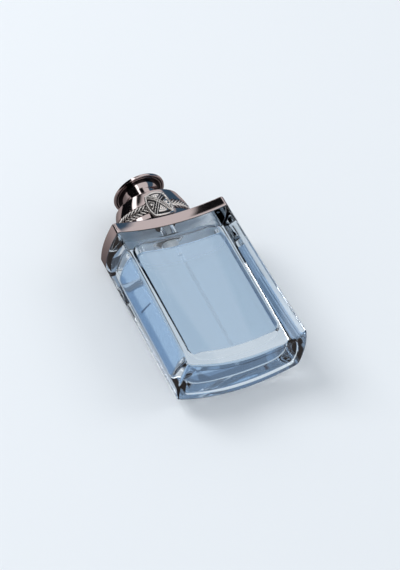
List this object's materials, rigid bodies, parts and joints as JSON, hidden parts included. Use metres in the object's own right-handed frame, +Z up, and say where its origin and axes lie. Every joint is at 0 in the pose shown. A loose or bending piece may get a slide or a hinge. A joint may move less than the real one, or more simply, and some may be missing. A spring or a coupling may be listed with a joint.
{
  "type": "aftershave bottle",
  "caption": "Flask-shaped clear glass aftershave bottle with a crimped spray pump, under an oval metal cap with a rope belt, a strapped front panel and a flared round finial.",
  "frame": {"origin": "on the surface the bottle stands on, under the middle of its bounding box", "axes": "+Z up through the neck; -Y is the hollowed front with the strapped panel, +Y the bellied back; +X to the right seen from the front"},
  "size_m": [0.0716, 0.0364, 0.1266],
  "materials": {
    "flask_glass": "clear, very pale blue, polished",
    "aftershave_liquid": "clear pale blue liquid",
    "plated_metal": "polished plating with a faint rose tint",
    "antiqued_silver": "antiqued, dark in the recesses",
    "darkened_recess": "blackened, satin",
    "ferrule_aluminium": "bright anodised",
    "gasket_rubber": "matt",
    "white_plastic": "moulded, satin",
    "clear_plastic": "translucent tube",
    "spring_steel": "drawn stainless"
  },
  "bodies": {
    "bottle": {"glass_bottle": "flask_glass", "fragrance": "aftershave_liquid", "shoulder_plate": "plated_metal", "crimp_ferrule": "ferrule_aluminium", "ferrule_sleeve": "ferrule_aluminium", "neck_gasket": "gasket_rubber", "pump_housing": "white_plastic", "pump_turret": "white_plastic", "dip_tube": "clear_plastic", "return_spring": "spring_steel"},
    "stem": {"pump_stem": "white_plastic", "pump_piston": "white_plastic"},
    "actuator": {"actuator_core": "white_plastic", "actuator_shell": "ferrule_aluminium", "spray_insert": "white_plastic"},
    "ball": {"inlet_ball": "spring_steel"},
    "cap": {"cap_shell": "plated_metal", "cap_liner": "white_plastic", "cap_finial": "plated_metal", "finial_inlay": "antiqued_silver", "rope_upper": "antiqued_silver", "rope_lower": "antiqued_silver", "front_panel": "darkened_recess", "panel_straps": "antiqued_silver", "panel_studs": "antiqued_silver"}
  },
  "joints": [
    {"name": "cap_lift", "type": "slide", "parent": "bottle", "child": "cap", "axis": [0, 0, 1], "range_m": [0, 0.045]},
    {"name": "pump_press", "type": "slide", "parent": "bottle", "child": "stem", "axis": [0, 0, -1], "range_m": [0, 0.004], "stiffness_N_per_m": 400, "springref_m": -0.004, "deforming": ["return_spring"]},
    {"name": "actuator_turn", "type": "hinge", "parent": "stem", "child": "actuator", "pos_m": [0, 0.00171, 0.11], "axis": [0, 0, 1], "continuous": true},
    {"name": "ball_lift", "type": "slide", "parent": "bottle", "child": "ball", "axis": [0, 0, 1], "range_m": [0, 0.0006]}
  ]
}
